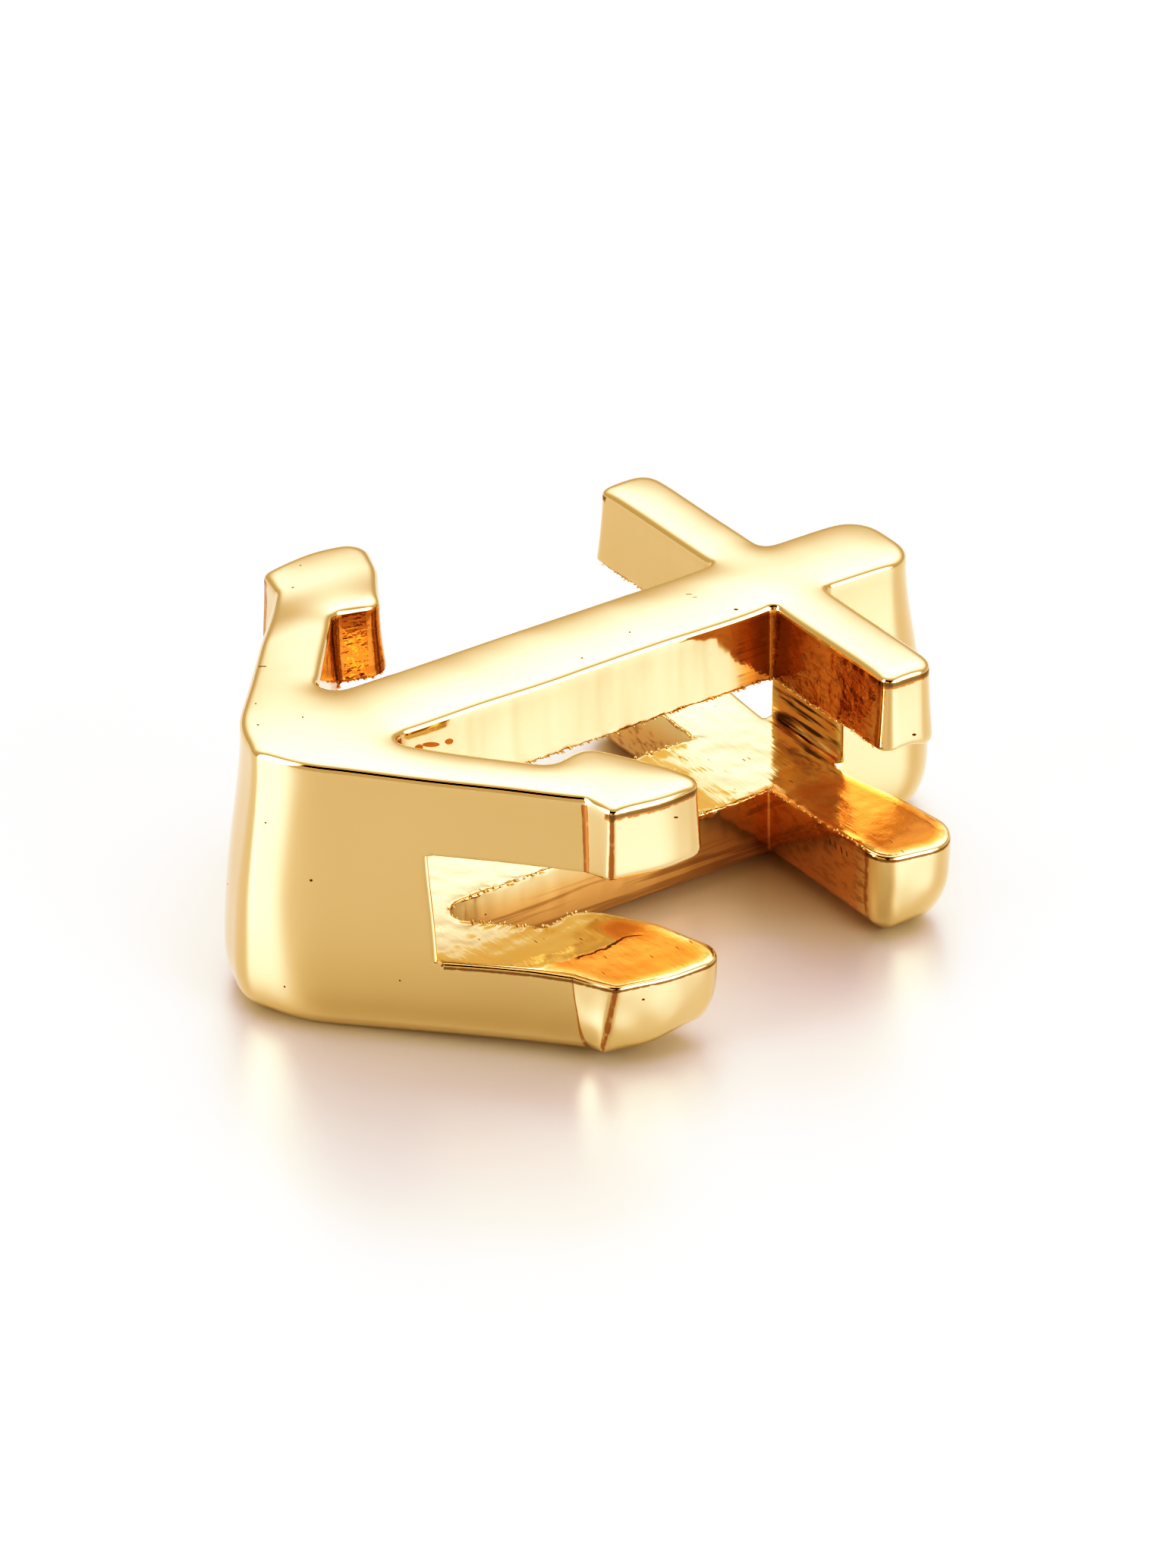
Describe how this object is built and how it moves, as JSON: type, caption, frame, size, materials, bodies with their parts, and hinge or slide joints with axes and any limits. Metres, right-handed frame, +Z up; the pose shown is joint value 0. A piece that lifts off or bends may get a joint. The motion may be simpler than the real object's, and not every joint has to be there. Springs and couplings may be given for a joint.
{
  "type": "anchor slider charm",
  "caption": "Gold-plated anchor charm in one casting: twin anchor plates joined at crown and ring end, with a flat slot through it for a strap.",
  "frame": {"origin": "centre of the resting face's plane, at the bottom centre of the whole charm's box", "axes": "+X along the stock, the direction in which a strap runs through the slot; +Y from the crown to the ring end; +Z up, from the lower plate to the upper one"},
  "size_m": [0.012, 0.0156, 0.0057],
  "materials": {
    "gold_plate": "pale gold electroplate over a polished casting, mirror bright outside, rough as cast inside the slot"
  },
  "bodies": {
    "root": {"anchor_slider": "gold_plate"}
  },
  "joints": []
}
